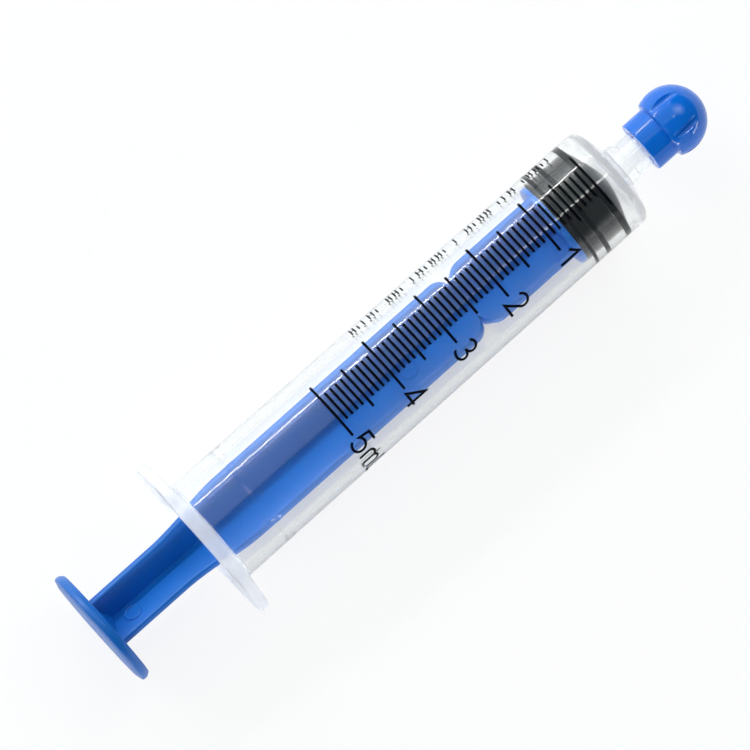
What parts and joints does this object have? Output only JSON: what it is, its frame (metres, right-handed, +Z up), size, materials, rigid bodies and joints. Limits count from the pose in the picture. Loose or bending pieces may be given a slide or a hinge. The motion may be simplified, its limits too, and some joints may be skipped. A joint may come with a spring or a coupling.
{
  "type": "oral syringe",
  "caption": "Oral dosing syringe lying on its side: clear graduated barrel with oval finger flange, blue cruciform plunger, grey rubber stopper and blue ball-ended tip cap.",
  "frame": {"origin": "middle of the underside of the bounding box, below the syringe's axis, which is 8.25 mm above it", "axes": "+X along the syringe's axis from the thumb rest to the nozzle and cap, +Y across the finger flange's long side, +Z up as it lies on a table"},
  "size_m": [0.0994, 0.0234, 0.0165],
  "materials": {
    "clear_plastic": "clear glossy polypropylene, slightly milky",
    "blue_rod_plastic": "satin moulded polypropylene",
    "stopper_rubber": "smooth lubricated rubber",
    "blue_cap_plastic": "glossy moulded plastic"
  },
  "bodies": {
    "barrel": {"barrel": "clear_plastic"},
    "stopper": {"stopper": "stopper_rubber"},
    "plunger_rod": {"plunger_rod": "blue_rod_plastic"},
    "tip_cap": {"tip_cap": "blue_cap_plastic"}
  },
  "joints": [
    {"name": "plunger_slide", "type": "slide", "parent": "barrel", "child": "stopper", "axis": [-1, 0, 0], "range_m": [-0.001, 0.0485]},
    {"name": "rod_twist", "type": "hinge", "parent": "stopper", "child": "plunger_rod", "pos_m": [0.02727, 0, 0.00825], "axis": [1, 0, 0], "continuous": true},
    {"name": "cap_pull", "type": "slide", "parent": "barrel", "child": "tip_cap", "axis": [1, 0, 0], "range_m": [0, 0.015]}
  ]
}
